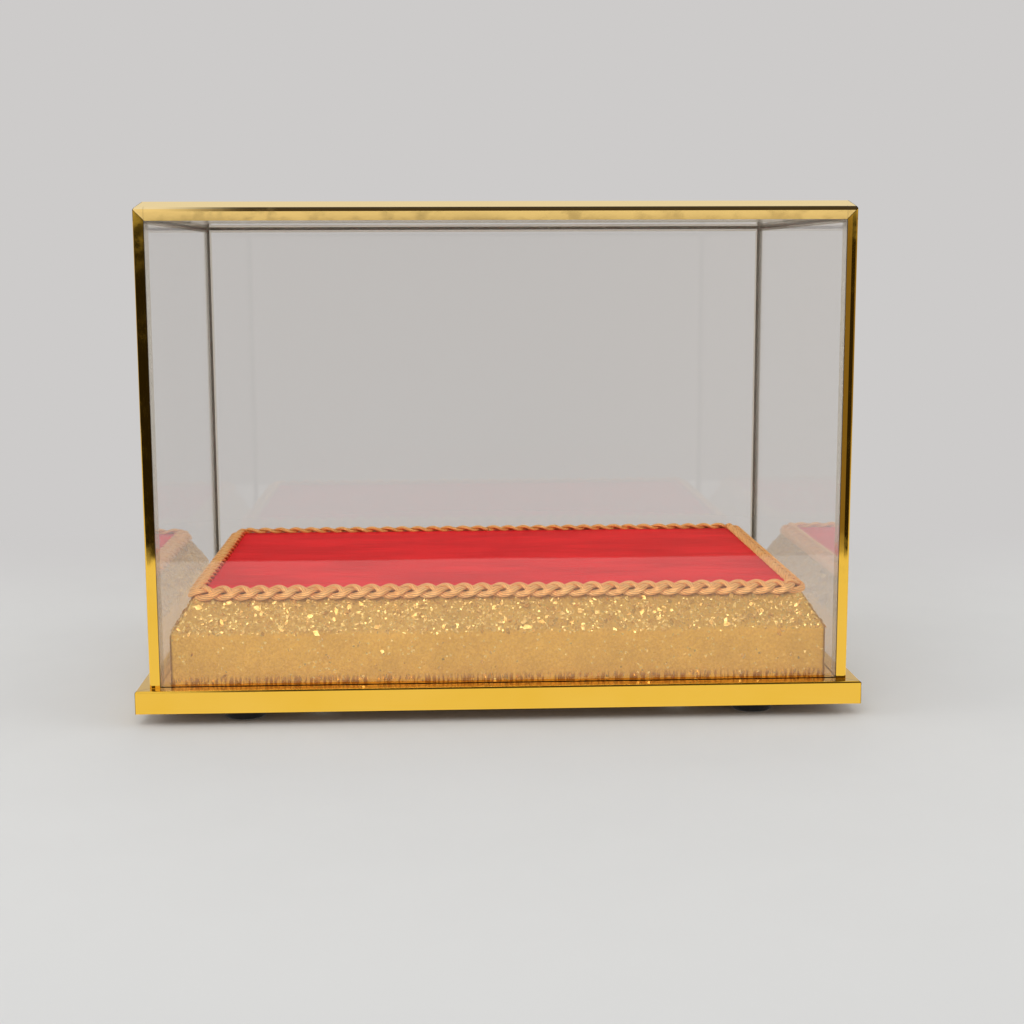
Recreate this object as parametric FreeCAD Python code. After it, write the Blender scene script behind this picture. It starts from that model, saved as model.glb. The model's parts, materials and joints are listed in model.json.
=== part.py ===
import FreeCAD, Part
import math
import os

# Glass display case, in millimetres.
# +Z is up, the front faces -Y, and the origin is under the middle of the case, on the surface it stands on.

# Cover: five glass panels edged with gold angle strip
COVER_W = 305.0
COVER_D = 203.0
COVER_H = 208.0
GLASS_T = 3.0
TRIM_LEG = 4.6
TRIM_T = 1.0
TRIM_ROUND = 0.9
TOP_FACE = 4.8
TOP_RUN = 4.0
TOP_RISE = 3.4
TOP_ROUND = 0.4
FOLD_ROUND = 2.4
SILICONE_LEG = 2.0

# Base: board with gold edge strips, on rubber feet
BASE_MARGIN = 5.5
BOARD_T = 9.0
BASE_TRIM_T = 1.0
BASE_TRIM_ROUND = 0.9
TRIM_TO_PLINTH = 0.3
FOOT_D = 19.5
FOOT_H = 6.0
FOOT_TAPER = 1.0
FOOT_ROUND = 0.8
FOOT_RECESS_D = 9.0
FOOT_FLOOR = 2.5
FOOT_INSET_X = 45.0
FOOT_INSET_Y = 19.0

# Plinth: wooden frame with gold fabric, a velvet top and a braid
PLINTH_GAP = 3.9
WALL_H = 22.0
BEVEL_SET = 10.3
BEVEL_RISE = 16.0
RAIL_T = 15.0
DECK_T = 5.0
FABRIC_T = 0.6
VELVET_T = 0.8
VELVET_CLEAR = 0.3
BRAID_W = 7.0
BRAID_OVER = 2.5
BRAID_RISE = 3.0
BRAID_DROP = 3.0
BRAID_ROUND = 1.8
BRAID_CORNER_R = 8.0
BRAID_SLIT = 0.4

# Screws
FOOT_SCREW_R = 1.5
FOOT_SCREW_HEAD_R = 3.2
FOOT_SCREW_HEAD_H = 1.8
FOOT_SCREW_BITE = 6.5
RAIL_SCREW_R = 1.75
RAIL_SCREW_HEAD_R = 3.5
RAIL_SCREW_HEAD_H = 1.75
RAIL_SCREW_BITE = 14.0
RAIL_SCREW_FROM_END = 65.0
SCREW_CLEAR = 0.1
SLOT_W = 0.9
SLOT_DEPTH = 0.8

# Heights, from the surface up
BOARD_Z = FOOT_H
BOARD_TOP = BOARD_Z + BOARD_T
COVER_Z = BOARD_TOP + BASE_TRIM_T
COVER_TOP = COVER_Z + COVER_H
FOLD_Z = COVER_TOP - TOP_RISE
GLASS_TOP = FOLD_Z - TRIM_T
FOLD_REACH = FOLD_ROUND * math.tan(math.atan2(TOP_RUN, TOP_RISE) / 2)
WALL_TOP = COVER_Z + WALL_H
LAP_TOP = WALL_TOP + BEVEL_RISE
DECK_TOP = LAP_TOP - FABRIC_T
DECK_Z = DECK_TOP - DECK_T

# Widths and depths, outside to outside
BASE_W = COVER_W + 2 * BASE_MARGIN
BASE_D = COVER_D + 2 * BASE_MARGIN
GLASS_W = COVER_W - 2 * TRIM_T
GLASS_D = COVER_D - 2 * TRIM_T
PLINTH_W = GLASS_W - 2 * (GLASS_T + PLINTH_GAP)
PLINTH_D = GLASS_D - 2 * (GLASS_T + PLINTH_GAP)
DECK_W = PLINTH_W - 2 * BEVEL_SET
DECK_D = PLINTH_D - 2 * BEVEL_SET
BRAID_OUTER_W = DECK_W + 2 * BRAID_OVER
BRAID_OUTER_D = DECK_D + 2 * BRAID_OVER
BRAID_INNER_W = BRAID_OUTER_W - 2 * BRAID_W
BRAID_INNER_D = BRAID_OUTER_D - 2 * BRAID_W

VEC = FreeCAD.Vector
MIRROR_X = VEC(1, 0, 0)
MIRROR_Y = VEC(0, 1, 0)
ORIGIN = VEC(0, 0, 0)


def box(width, depth, z_low, z_high):
    """A box centred on the Z axis, between two heights."""
    return Part.makeBox(width, depth, z_high - z_low, VEC(-width / 2, -depth / 2, z_low))


def span(low, high):
    """A box between two corners."""
    return Part.makeBox(high[0] - low[0], high[1] - low[1], high[2] - low[2], VEC(*low))


def polygon_face(points):
    """A flat face through corner points."""
    corners = [VEC(*point) for point in points]
    return Part.Face(Part.makePolygon(corners + corners[:1]))


def prism(points, direction):
    """A flat polygon drawn out along a vector."""
    return polygon_face(points).extrude(VEC(*direction))


def mirrored(shape, normal):
    """The same shape on the other side of the middle plane with that normal."""
    return shape.mirror(ORIGIN, normal)


def frustum(lower, z_low, upper, z_high):
    """A solid between two centred rectangles, each given as width and depth."""
    rings = []
    for (width, depth), height in ((lower, z_low), (upper, z_high)):
        x, y = width / 2, depth / 2
        rings.append([(-x, -y, height), (x, -y, height), (x, y, height), (-x, y, height)])
    faces = [polygon_face(rings[0]), polygon_face(rings[1])]
    for i in range(4):
        j = (i + 1) % 4
        faces.append(polygon_face([rings[0][i], rings[0][j], rings[1][j], rings[1][i]]))
    return Part.Solid(Part.makeShell(faces))


def angle_strip(leg_y, leg_z, thick, round_r, length):
    """An angle strip along X from x=0, its outer edge on the X axis, legs towards +Y and -Z."""
    bow = round_r * (1 - math.sqrt(0.5))
    arc = (VEC(0, round_r, 0), VEC(0, bow, -bow), VEC(0, 0, -round_r))
    points = [
        VEC(0, 0, -leg_z),
        VEC(0, thick, -leg_z),
        VEC(0, thick, -thick),
        VEC(0, leg_y, -thick),
        VEC(0, leg_y, 0),
    ]
    return arc_profile(arc, points, length)


def fold_arc():
    """The rounded fold of a top strip's profile: its upper end, its middle and its lower end."""
    upper = VEC(0, TOP_RUN, TOP_RISE).normalize() * FOLD_REACH
    centre = VEC(0, FOLD_ROUND, -FOLD_REACH)
    middle = centre - VEC(centre).normalize() * FOLD_ROUND
    return upper, middle, VEC(0, 0, -FOLD_REACH)


def arc_profile(arc, points, length):
    """A profile drawn out along X: an arc, closed by straight lines through points from its end to its start."""
    edges = [Part.Arc(*arc).toShape()]
    corners = [arc[2]] + points + [arc[0]]
    edges += [Part.LineSegment(a, b).toShape() for a, b in zip(corners, corners[1:])]
    return Part.Face(Part.Wire(edges)).extrude(VEC(length, 0, 0))


def fold_waste(length):
    """What the rounding takes off the sharp fold of a top strip."""
    return arc_profile(fold_arc(), [VEC(0, 0, 0)], length)


def bevelled_strip(length):
    """A top strip along X from x=0: a face towards -Z below the X axis and a slope that rises towards +Y."""
    crest = VEC(0, TOP_RUN, TOP_RISE)
    up_slope = VEC(0, TOP_RUN, TOP_RISE).normalize() * TOP_ROUND
    down_back = VEC(0, 0, -TOP_ROUND)
    points = [
        VEC(0, 0, -TOP_FACE),
        VEC(0, TRIM_T, -TOP_FACE),
        VEC(0, TRIM_T, -TRIM_T),
        VEC(0, TOP_RUN, -TRIM_T),
        crest + down_back,
        crest - up_slope,
    ]
    return arc_profile(fold_arc(), points, length)


def mitre_cut(corner, along, across, third, reach):
    """The region beside a corner that is nearer to it along the first way than along the second."""
    base = VEC(*corner)
    a, b, c = VEC(*along), VEC(*across), VEC(*third)
    far = base + b * reach
    flat = [base - a * reach - b * reach, base + a * reach + b * reach, far - a * reach]
    return Part.Face(Part.makePolygon(flat + flat[:1])).translated(c * -reach).extrude(c * (2 * reach))


# Cover

COVER_CORNER = (-COVER_W / 2, -COVER_D / 2, FOLD_Z)
RIGHT, BACK, DOWN = (1, 0, 0), (0, 1, 0), (0, 0, -1)


def mitred(strip, along, others):
    """Cuts a strip back at the front left top corner, on the 45 degree planes that it shares."""
    reach = 4 * TRIM_LEG
    first, second = others
    strip = strip.cut(mitre_cut(COVER_CORNER, along, first, second, reach))
    return strip.cut(mitre_cut(COVER_CORNER, along, second, first, reach))


def along_front(strip):
    """Puts a strip that lies along X onto the front top edge, from the left corner."""
    strip.translate(VEC(*COVER_CORNER))
    return strip


def along_left(strip):
    """Puts a strip that lies along X onto the left top edge, up to the front corner."""
    strip.rotate(ORIGIN, VEC(0, 0, 1), -90)
    strip.translate(VEC(-COVER_W / 2, 0, FOLD_Z))
    return strip


def top_trim_front():
    half = mitred(along_front(bevelled_strip(COVER_W / 2)), RIGHT, (BACK, DOWN))
    return half.fuse(mirrored(half, MIRROR_X)).removeSplitter()


def top_trim_left():
    half = mitred(along_left(bevelled_strip(COVER_D / 2)), BACK, (RIGHT, DOWN))
    return half.fuse(mirrored(half, MIRROR_Y)).removeSplitter()


def corner_trim_front_left():
    strip = angle_strip(TRIM_LEG, TRIM_LEG, TRIM_T, TRIM_ROUND, FOLD_Z - COVER_Z)
    strip.rotate(ORIGIN, VEC(0, 1, 0), -90)
    strip.translate(VEC(-COVER_W / 2, -COVER_D / 2, COVER_Z))
    post = mitred(strip, DOWN, (RIGHT, BACK))
    post = post.cut(along_front(fold_waste(COVER_W / 2)))
    return post.cut(along_left(fold_waste(COVER_D / 2)))


def glass_panels():
    """Front and back run the full width, the sides fit between them and the top lies on all four."""
    under = GLASS_TOP - GLASS_T
    x, y = GLASS_W / 2, GLASS_D / 2
    front = span((-x, -y, COVER_Z), (x, -y + GLASS_T, under))
    left = span((-x, -y + GLASS_T, COVER_Z), (-x + GLASS_T, y - GLASS_T, under))
    return {
        "glass_front": front,
        "glass_back": mirrored(front, MIRROR_Y),
        "glass_left": left,
        "glass_right": mirrored(left, MIRROR_X),
        "glass_top": box(GLASS_W, GLASS_D, under, GLASS_TOP),
    }


def four_corners(shape):
    """A shape in the front left corner, and its mirror images in the other three."""
    right = mirrored(shape, MIRROR_X)
    return [shape, right, mirrored(shape, MIRROR_Y), mirrored(right, MIRROR_Y)]


def corner_silicone():
    """Three-sided fillets in the upright inside corners, ending under the top fillets."""
    x, y = -GLASS_W / 2 + GLASS_T, -GLASS_D / 2 + GLASS_T
    top = GLASS_TOP - GLASS_T - SILICONE_LEG
    flat = [(x, y, COVER_Z), (x + SILICONE_LEG, y, COVER_Z), (x, y + SILICONE_LEG, COVER_Z)]
    return Part.Compound(four_corners(prism(flat, (0, 0, top - COVER_Z))))


def top_silicone():
    """Three-sided fillets under the top glass: two full-width runs, and two side runs between them."""
    x, y = -GLASS_W / 2 + GLASS_T, -GLASS_D / 2 + GLASS_T
    z = GLASS_TOP - GLASS_T
    across = [(x, y, z), (x, y + SILICONE_LEG, z), (x, y, z - SILICONE_LEG)]
    front = prism(across, (-2 * x, 0, 0))
    start = y + SILICONE_LEG
    side = [(x, start, z), (x + SILICONE_LEG, start, z), (x, start, z - SILICONE_LEG)]
    left = prism(side, (0, -2 * start, 0))
    return Part.Compound([front, mirrored(front, MIRROR_Y), left, mirrored(left, MIRROR_X)])


# Base

BASE_TRIM_LEG = BASE_MARGIN + TRIM_T + GLASS_T + PLINTH_GAP - TRIM_TO_PLINTH
FOOT_X = BASE_W / 2 - FOOT_INSET_X
FOOT_Y = BASE_D / 2 - FOOT_INSET_Y


def base_trim(length, depth):
    """One edge strip at the front of a base of that depth, cut at 45 degrees at both ends."""
    half = angle_strip(BASE_TRIM_LEG, BOARD_T + BASE_TRIM_T, BASE_TRIM_T, BASE_TRIM_ROUND, length / 2)
    corner = (-length / 2, -depth / 2, COVER_Z)
    half.translate(VEC(*corner))
    half = half.cut(mitre_cut(corner, RIGHT, BACK, DOWN, 2 * BASE_TRIM_LEG))
    return half.fuse(mirrored(half, MIRROR_X)).removeSplitter()


def rail_screw_places():
    """Two screws to a rail, on the middle of its thickness."""
    inner_w = PLINTH_W - 2 * FABRIC_T
    inner_d = PLINTH_D - 2 * FABRIC_T
    places = []
    for side in (-1, 1):
        for end in (-1, 1):
            places.append((end * (inner_w / 2 - RAIL_SCREW_FROM_END), side * (inner_d - RAIL_T) / 2))
            places.append((side * (inner_w - RAIL_T) / 2, end * (inner_d / 2 - RAIL_SCREW_FROM_END)))
    return places


def foot_places():
    return {
        "foot_front_left": (-FOOT_X, -FOOT_Y),
        "foot_front_right": (FOOT_X, -FOOT_Y),
        "foot_back_left": (-FOOT_X, FOOT_Y),
        "foot_back_right": (FOOT_X, FOOT_Y),
    }


def base_board():
    board = box(BASE_W - 2 * BASE_TRIM_T, BASE_D - 2 * BASE_TRIM_T, BOARD_Z, BOARD_TOP)
    pilot_h = FOOT_SCREW_BITE + SCREW_CLEAR
    for x, y in foot_places().values():
        board = board.cut(Part.makeCylinder(FOOT_SCREW_R + SCREW_CLEAR, pilot_h, VEC(x, y, BOARD_Z)))
    for x, y in rail_screw_places():
        place = VEC(x, y, BOARD_Z)
        board = board.cut(Part.makeCylinder(RAIL_SCREW_R + SCREW_CLEAR, BOARD_T, place))
        board = board.cut(Part.makeCone(RAIL_SCREW_HEAD_R, RAIL_SCREW_R, RAIL_SCREW_HEAD_H, place))
    return board


def foot(place):
    """A round tapered foot with a recess that hides the screw's head."""
    x, y = place
    body = Part.makeCone(FOOT_D / 2 - FOOT_TAPER, FOOT_D / 2, FOOT_H)
    rim = [edge for edge in body.Edges if edge.Length > FOOT_D and abs(edge.BoundBox.ZMax) < FOOT_ROUND]
    body = body.makeFillet(FOOT_ROUND, rim)
    body = body.cut(Part.makeCylinder(FOOT_RECESS_D / 2, FOOT_H - FOOT_FLOOR))
    body = body.cut(Part.makeCylinder(FOOT_SCREW_R + SCREW_CLEAR, FOOT_H))
    body.translate(VEC(x, y, 0))
    return body


def foot_screws():
    """Pan-head screws up through the feet into the board."""
    screws = []
    seat = FOOT_H - FOOT_FLOOR
    for x, y in foot_places().values():
        head = Part.makeCylinder(FOOT_SCREW_HEAD_R, FOOT_SCREW_HEAD_H, VEC(0, 0, seat - FOOT_SCREW_HEAD_H))
        shank = Part.makeCylinder(FOOT_SCREW_R, FOOT_FLOOR + FOOT_SCREW_BITE, VEC(0, 0, seat))
        slot = box(2 * FOOT_SCREW_HEAD_R, SLOT_W, 0, seat - FOOT_SCREW_HEAD_H + SLOT_DEPTH)
        screw = head.fuse(shank).cut(slot).removeSplitter()
        screw.translate(VEC(x, y, 0))
        screws.append(screw)
    return Part.Compound(screws)


def plinth_screws():
    """Countersunk screws up through the board into the rails."""
    screws = []
    for x, y in rail_screw_places():
        head = Part.makeCone(RAIL_SCREW_HEAD_R, RAIL_SCREW_R, RAIL_SCREW_HEAD_H)
        shank_h = BOARD_T + RAIL_SCREW_BITE - RAIL_SCREW_HEAD_H
        shank = Part.makeCylinder(RAIL_SCREW_R, shank_h, VEC(0, 0, RAIL_SCREW_HEAD_H))
        slot = box(2 * RAIL_SCREW_HEAD_R, SLOT_W, 0, SLOT_DEPTH)
        screw = head.fuse(shank).cut(slot).removeSplitter()
        screw.translate(VEC(x, y, BOARD_Z))
        screws.append(screw)
    return Part.Compound(screws)


# Plinth

BEVEL_LENGTH = math.hypot(BEVEL_SET, BEVEL_RISE)


def plinth_form(skin, top):
    """The plinth's block, drawn in by a skin thickness from the fabric's outside, up to a height."""
    knee = WALL_TOP - skin * (BEVEL_LENGTH - BEVEL_RISE) / BEVEL_SET
    drawn_in = (skin * BEVEL_LENGTH + (top - WALL_TOP) * BEVEL_SET) / BEVEL_RISE
    wall = (PLINTH_W - 2 * skin, PLINTH_D - 2 * skin)
    crest = (PLINTH_W - 2 * drawn_in, PLINTH_D - 2 * drawn_in)
    block = box(wall[0], wall[1], BOARD_TOP, knee)
    return block.fuse(frustum(wall, knee, crest, top)).removeSplitter()


def plinth_frame():
    """Rails round the edge and a deck on top of them, bevelled together."""
    form = plinth_form(FABRIC_T, DECK_TOP)
    x, y = PLINTH_W / 2 - FABRIC_T, PLINTH_D / 2 - FABRIC_T
    front = form.common(span((-x, -y, BOARD_TOP), (x, -y + RAIL_T, DECK_Z)))
    left = form.common(span((-x, -y + RAIL_T, BOARD_TOP), (-x + RAIL_T, y - RAIL_T, DECK_Z)))
    for px, py in rail_screw_places():
        pilot_h = RAIL_SCREW_BITE + SCREW_CLEAR
        pilot = Part.makeCylinder(RAIL_SCREW_R + SCREW_CLEAR, pilot_h, VEC(px, py, BOARD_TOP))
        front = front.cut(pilot)
        left = left.cut(pilot)
    return {
        "plinth_rail_front": front,
        "plinth_rail_back": mirrored(front, MIRROR_Y),
        "plinth_rail_left": left,
        "plinth_rail_right": mirrored(left, MIRROR_X),
        "plinth_deck": form.common(box(PLINTH_W, PLINTH_D, DECK_Z, DECK_TOP)),
    }


def gold_fabric():
    """Four panels over the wall and the bevel, turned over the deck's edge as far as under the braid."""
    skin = plinth_form(0, LAP_TOP).cut(plinth_form(FABRIC_T, DECK_TOP))
    skin = skin.cut(box(BRAID_INNER_W, BRAID_INNER_D, DECK_TOP, LAP_TOP))
    x, y = PLINTH_W / 2, PLINTH_D / 2
    reach = BEVEL_SET + BRAID_W
    up = (0, 0, LAP_TOP - BOARD_TOP)
    front_bay = [(-x, -y), (x, -y), (x - reach, -y + reach), (-x + reach, -y + reach)]
    left_bay = [(-x, -y), (-x + reach, -y + reach), (-x + reach, y - reach), (-x, y)]
    front = skin.common(prism([(px, py, BOARD_TOP) for px, py in front_bay], up))
    left = skin.common(prism([(px, py, BOARD_TOP) for px, py in left_bay], up))
    return {
        "gold_fabric_front": front,
        "gold_fabric_back": mirrored(front, MIRROR_Y),
        "gold_fabric_left": left,
        "gold_fabric_right": mirrored(left, MIRROR_X),
    }


def velvet_top():
    width = BRAID_INNER_W - 2 * VELVET_CLEAR
    depth = BRAID_INNER_D - 2 * VELVET_CLEAR
    return box(width, depth, DECK_TOP, DECK_TOP + VELVET_T)


def round_cornered(width, depth, radius, z_low, z_high):
    """A centred block with its four upright edges rounded."""
    block = box(width, depth, z_low, z_high)
    upright = [edge for edge in block.Edges if edge.BoundBox.ZLength > (z_high - z_low) / 2]
    return block.makeFillet(radius, upright)


def braid_edging():
    """One strip round the deck's edge, saddled over the bevel, its ends meeting at the back."""
    low, high = LAP_TOP - BRAID_DROP, LAP_TOP + BRAID_RISE
    ring = round_cornered(BRAID_OUTER_W, BRAID_OUTER_D, BRAID_CORNER_R, low, high)
    inner_r = BRAID_CORNER_R - BRAID_W
    ring = ring.cut(round_cornered(BRAID_INNER_W, BRAID_INNER_D, inner_r, low, high))
    crest = [edge for edge in ring.Edges if edge.BoundBox.ZMin > high - BRAID_ROUND / 2]
    ring = ring.makeFillet(BRAID_ROUND, crest)
    ring = ring.cut(plinth_form(0, LAP_TOP))
    slit = span((-BRAID_SLIT / 2, 0, low), (BRAID_SLIT / 2, BRAID_OUTER_D, high))
    return ring.cut(slit)


def all_pieces():
    pieces = {"base_board": base_board()}
    front = base_trim(BASE_W, BASE_D)
    pieces["base_trim_front"] = front
    pieces["base_trim_back"] = mirrored(front, MIRROR_Y)
    left = base_trim(BASE_D, BASE_W)
    left.rotate(ORIGIN, VEC(0, 0, 1), -90)
    pieces["base_trim_left"] = left
    pieces["base_trim_right"] = mirrored(left, MIRROR_X)
    for name, place in foot_places().items():
        pieces[name] = foot(place)
    pieces["foot_screws"] = foot_screws()
    pieces.update(plinth_frame())
    pieces["plinth_screws"] = plinth_screws()
    pieces.update(gold_fabric())
    pieces["velvet_top"] = velvet_top()
    pieces["braid_edging"] = braid_edging()

    pieces.update(glass_panels())
    corners = four_corners(corner_trim_front_left())
    for name, shape in zip(("front_left", "front_right", "back_left", "back_right"), corners):
        pieces["corner_trim_" + name] = shape
    front = top_trim_front()
    pieces["top_trim_front"] = front
    pieces["top_trim_back"] = mirrored(front, MIRROR_Y)
    left = top_trim_left()
    pieces["top_trim_left"] = left
    pieces["top_trim_right"] = mirrored(left, MIRROR_X)
    pieces["corner_silicone"] = corner_silicone()
    pieces["top_silicone"] = top_silicone()
    return pieces


os.makedirs("parts", exist_ok=True)
for node, shape in all_pieces().items():
    shape.exportStep("parts/" + node + ".step")
    size = shape.BoundBox
    print(node, len(shape.Solids), "solids", round(shape.Volume), "mm3,",
          "x", round(size.XMin, 2), round(size.XMax, 2), "y", round(size.YMin, 2), round(size.YMax, 2),
          "z", round(size.ZMin, 2), round(size.ZMax, 2), "valid" if shape.isValid() else "NOT VALID")
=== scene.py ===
# %% [markdown]
# # A glass display case
# The case has two bodies: a base with a covered plinth, and a glass cover that lifts off. The imported model
# brings in every hard piece at its real size, in metres. We load it first and never move it, so all that
# comes later can be placed by the same numbers.

# %% Load the imported model
import json
import math
import random

import bpy
from mathutils import Matrix, Vector, noise


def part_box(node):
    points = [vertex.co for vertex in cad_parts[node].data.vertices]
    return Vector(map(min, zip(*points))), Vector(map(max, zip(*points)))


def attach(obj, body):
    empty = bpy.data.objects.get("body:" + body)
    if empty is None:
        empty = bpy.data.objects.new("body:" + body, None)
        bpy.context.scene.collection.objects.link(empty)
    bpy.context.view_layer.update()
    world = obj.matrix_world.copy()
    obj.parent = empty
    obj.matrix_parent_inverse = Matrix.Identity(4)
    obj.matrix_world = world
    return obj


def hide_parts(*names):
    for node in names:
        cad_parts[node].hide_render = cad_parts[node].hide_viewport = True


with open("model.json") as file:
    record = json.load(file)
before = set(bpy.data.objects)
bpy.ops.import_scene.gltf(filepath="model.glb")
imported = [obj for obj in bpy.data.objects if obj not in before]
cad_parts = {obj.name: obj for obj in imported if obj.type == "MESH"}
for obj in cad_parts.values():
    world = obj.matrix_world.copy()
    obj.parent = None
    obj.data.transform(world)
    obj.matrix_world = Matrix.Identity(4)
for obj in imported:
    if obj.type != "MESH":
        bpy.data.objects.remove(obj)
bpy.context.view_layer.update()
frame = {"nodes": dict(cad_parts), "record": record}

MM = 0.001

# %% [markdown]
# ## The camera
# The photograph was taken from just below the top of the cover, slightly left of the middle. Fitting a
# pinhole camera to the corners of the case gave where the lens stood and how it was turned. A camera could
# be aimed with a constraint, but a matrix keeps the small roll too.

# %% Camera from the fitted viewpoint
PITCH, YAW, ROLL = math.radians(8.57), math.radians(2.52), math.radians(-0.21)
EYE = Vector((-25.8, -803.4, 197.7)) * MM
FOCAL_PIXELS, FRAME_PIXELS, SENSOR_MM = 1649.0, 1024.0, 36.0

forward = Vector((math.sin(YAW) * math.cos(PITCH), math.cos(YAW) * math.cos(PITCH), -math.sin(PITCH)))
level = Vector((math.cos(YAW), -math.sin(YAW), 0))
above = level.cross(forward)
right = level * math.cos(ROLL) + above * math.sin(ROLL)
up = above * math.cos(ROLL) - level * math.sin(ROLL)

scene = bpy.context.scene
camera = bpy.data.objects.new("camera", bpy.data.cameras.new("camera"))
scene.collection.objects.link(camera)
camera.data.sensor_width = SENSOR_MM
camera.data.lens = SENSOR_MM * FOCAL_PIXELS / FRAME_PIXELS
camera.data.clip_start = 0.01
camera.matrix_world = Matrix.Translation(EYE) @ Matrix((right, up, -forward)).transposed().to_4x4()
scene.camera = camera
scene.view_settings.view_transform = "Standard"
print("lens:", round(camera.data.lens, 2), "mm")

# %% [markdown]
# ## Shader maths that reads like Python
# A finish is a small network of nodes. Wiring each node by hand hides the idea, so one class wraps an
# output socket: arithmetic on it adds Math nodes, and its `node` method adds any other kind of node.


# %% A socket with operators
class Wire:
    """An output of a shader node. Arithmetic adds Math nodes, and node() adds any other kind."""

    def __init__(self, tree, socket=None):
        self.tree = tree
        self.socket = socket

    def node(self, kind, settings=(), inputs=(), out=0):
        """Adds a node: its settings come first, then the values or links of its sockets."""
        made = self.tree.nodes.new("ShaderNode" + kind)
        for name, value in dict(settings).items():
            setattr(made, name, value)
        for name, value in dict(inputs).items():
            if isinstance(value, Wire):
                self.tree.links.new(value.socket, made.inputs[name])
            else:
                made.inputs[name].default_value = value
        return Wire(self.tree, made.outputs[out] if made.outputs else None)

    def beside(self, name):
        """Another output of the same node."""
        return Wire(self.tree, self.socket.node.outputs[name])

    def maths(self, operation, first, second=0.0):
        """A Math node of one or two values."""
        return self.node("Math", {"operation": operation}, {0: first, 1: second})

    def __add__(self, other):
        return self.maths("ADD", self, other)

    def __radd__(self, other):
        return self.maths("ADD", other, self)

    def __sub__(self, other):
        return self.maths("SUBTRACT", self, other)

    def __rsub__(self, other):
        return self.maths("SUBTRACT", other, self)

    def __mul__(self, other):
        return self.maths("MULTIPLY", self, other)

    def __rmul__(self, other):
        return self.maths("MULTIPLY", other, self)

    def __lt__(self, other):
        return self.maths("LESS_THAN", self, other)

    def __gt__(self, other):
        return self.maths("GREATER_THAN", self, other)

    def __abs__(self):
        return self.maths("ABSOLUTE", self)

    def rise(self, low, high):
        """0 below low and 1 above high, with a smooth change between."""
        limits = {"Value": self, "From Min": low, "From Max": high}
        return self.node("MapRange", {"interpolation_type": "SMOOTHSTEP"}, limits)

    def clamped(self):
        """The same value, kept between 0 and 1."""
        return self.node("Clamp", {}, {"Value": self})

    def blend(self, first, second):
        """From the first colour, where this is 0, to the second, where it is 1."""
        return self.node("Mix", {"data_type": "RGBA"}, {0: self, 6: first, 7: second}, out=2)

    def tinted(self, by):
        """This colour multiplied by another."""
        settings = {"data_type": "RGBA", "blend_type": "MULTIPLY"}
        return self.node("Mix", settings, {0: 1.0, 6: self, 7: by}, out=2)

    def vector(self, operation, other=(0, 0, 0)):
        """Vector Math of this vector with another."""
        return self.node("VectorMath", {"operation": operation}, {0: self, 1: other})

    def xyz(self):
        """The three numbers of a vector."""
        x = self.node("SeparateXYZ", {}, {0: self})
        return x, x.beside("Y"), x.beside("Z")


# %% Colours as read on a screen, and the start of a finish
def screen(red, green, blue):
    """A colour read on a screen, from 0 to 255, as the linear values that shaders use."""
    def linear(value):
        value /= 255
        return value / 12.92 if value <= 0.04045 else ((value + 0.055) / 1.055) ** 2.4
    return (linear(red), linear(green), linear(blue), 1.0)


def new_finish(name):
    """An empty material, the start of its nodes, and the place on the object in metres."""
    material = bpy.data.materials.new(name)
    material.use_nodes = True
    material.node_tree.nodes.clear()
    start = Wire(material.node_tree)
    return material, start, start.node("TexCoord", out="Object")


def spots(place, size_mm, detail=2.0, stretch=None):
    """Soft random spots of about that size, from 0 to 1. stretch draws them out along an axis."""
    if stretch:
        place = place.vector("MULTIPLY", stretch)
    return place.node("TexNoise", {}, {"Vector": place, "Scale": 1 / (size_mm * MM), "Detail": detail})


def bumps(height, deep_mm):
    """A normal that is tilted as if the surface rose by up to deep_mm."""
    return height.node("Bump", {}, {"Height": height, "Distance": deep_mm * MM, "Strength": 1.0})


def finished(start, surface):
    """Leads a shader to the material's output."""
    start.node("OutputMaterial", {}, {"Surface": surface})


finishes = {}


def add_finish(make):
    """Makes a finish and keeps it under its maker's name. The record's slots have the same names."""
    finishes[make.__name__] = material = make()
    print("finish:", make.__name__, "in", len(material.node_tree.nodes), "nodes")


# %% [markdown]
# ## The studio
# The case stands on a pale table in front of a pale wall. Mirror gold has hardly any colour of its own: it
# shows what stands round it. In the photograph the posts are dark where they mirror the unlit room beyond
# the table's front edge, and gold where they mirror the table itself. So the floor ends a little in front of
# the case, and the world is dark low down in front for reflections only. What the camera sees directly, or
# through the glass, stays plain and pale from every side.

# %% World
TABLE_TONE = screen(215, 215, 214)
WALL_TONE = screen(205, 203, 202)
SKY_TONE, SKY_STRENGTH = (1.0, 0.995, 0.985, 1), 0.50
UNLIT_LEFT, UNLIT_RIGHT = (0.018, 0.014, 0.008, 1), (0.24, 0.19, 0.13, 1)
UNLIT_BEHIND_PANE = (0.50, 0.47, 0.44, 1)
WINDOW, CEILING = (0.90, 0.88, 0.84, 1), (0.06, 0.05, 0.04, 1)
HIGH_BEHIND = (0.84, 0.83, 0.81, 1)
ROOM_TOP, ROOM_SOFT = 0.0235, 0.003
BEHIND_SEEN, BEHIND_MIRRORED = (-0.25, 0.25), (-0.02, 0.08)
UNLIT_ACROSS, TABLE_LINE = (0.02, 0.26), (-0.27, -0.20)
WINDOW_SIDE, WINDOW_TOP, WALL_TOP = (-0.17, -0.11), (0.16, 0.26), (0.5, 0.9)
PANE_FACES = 2


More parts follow.
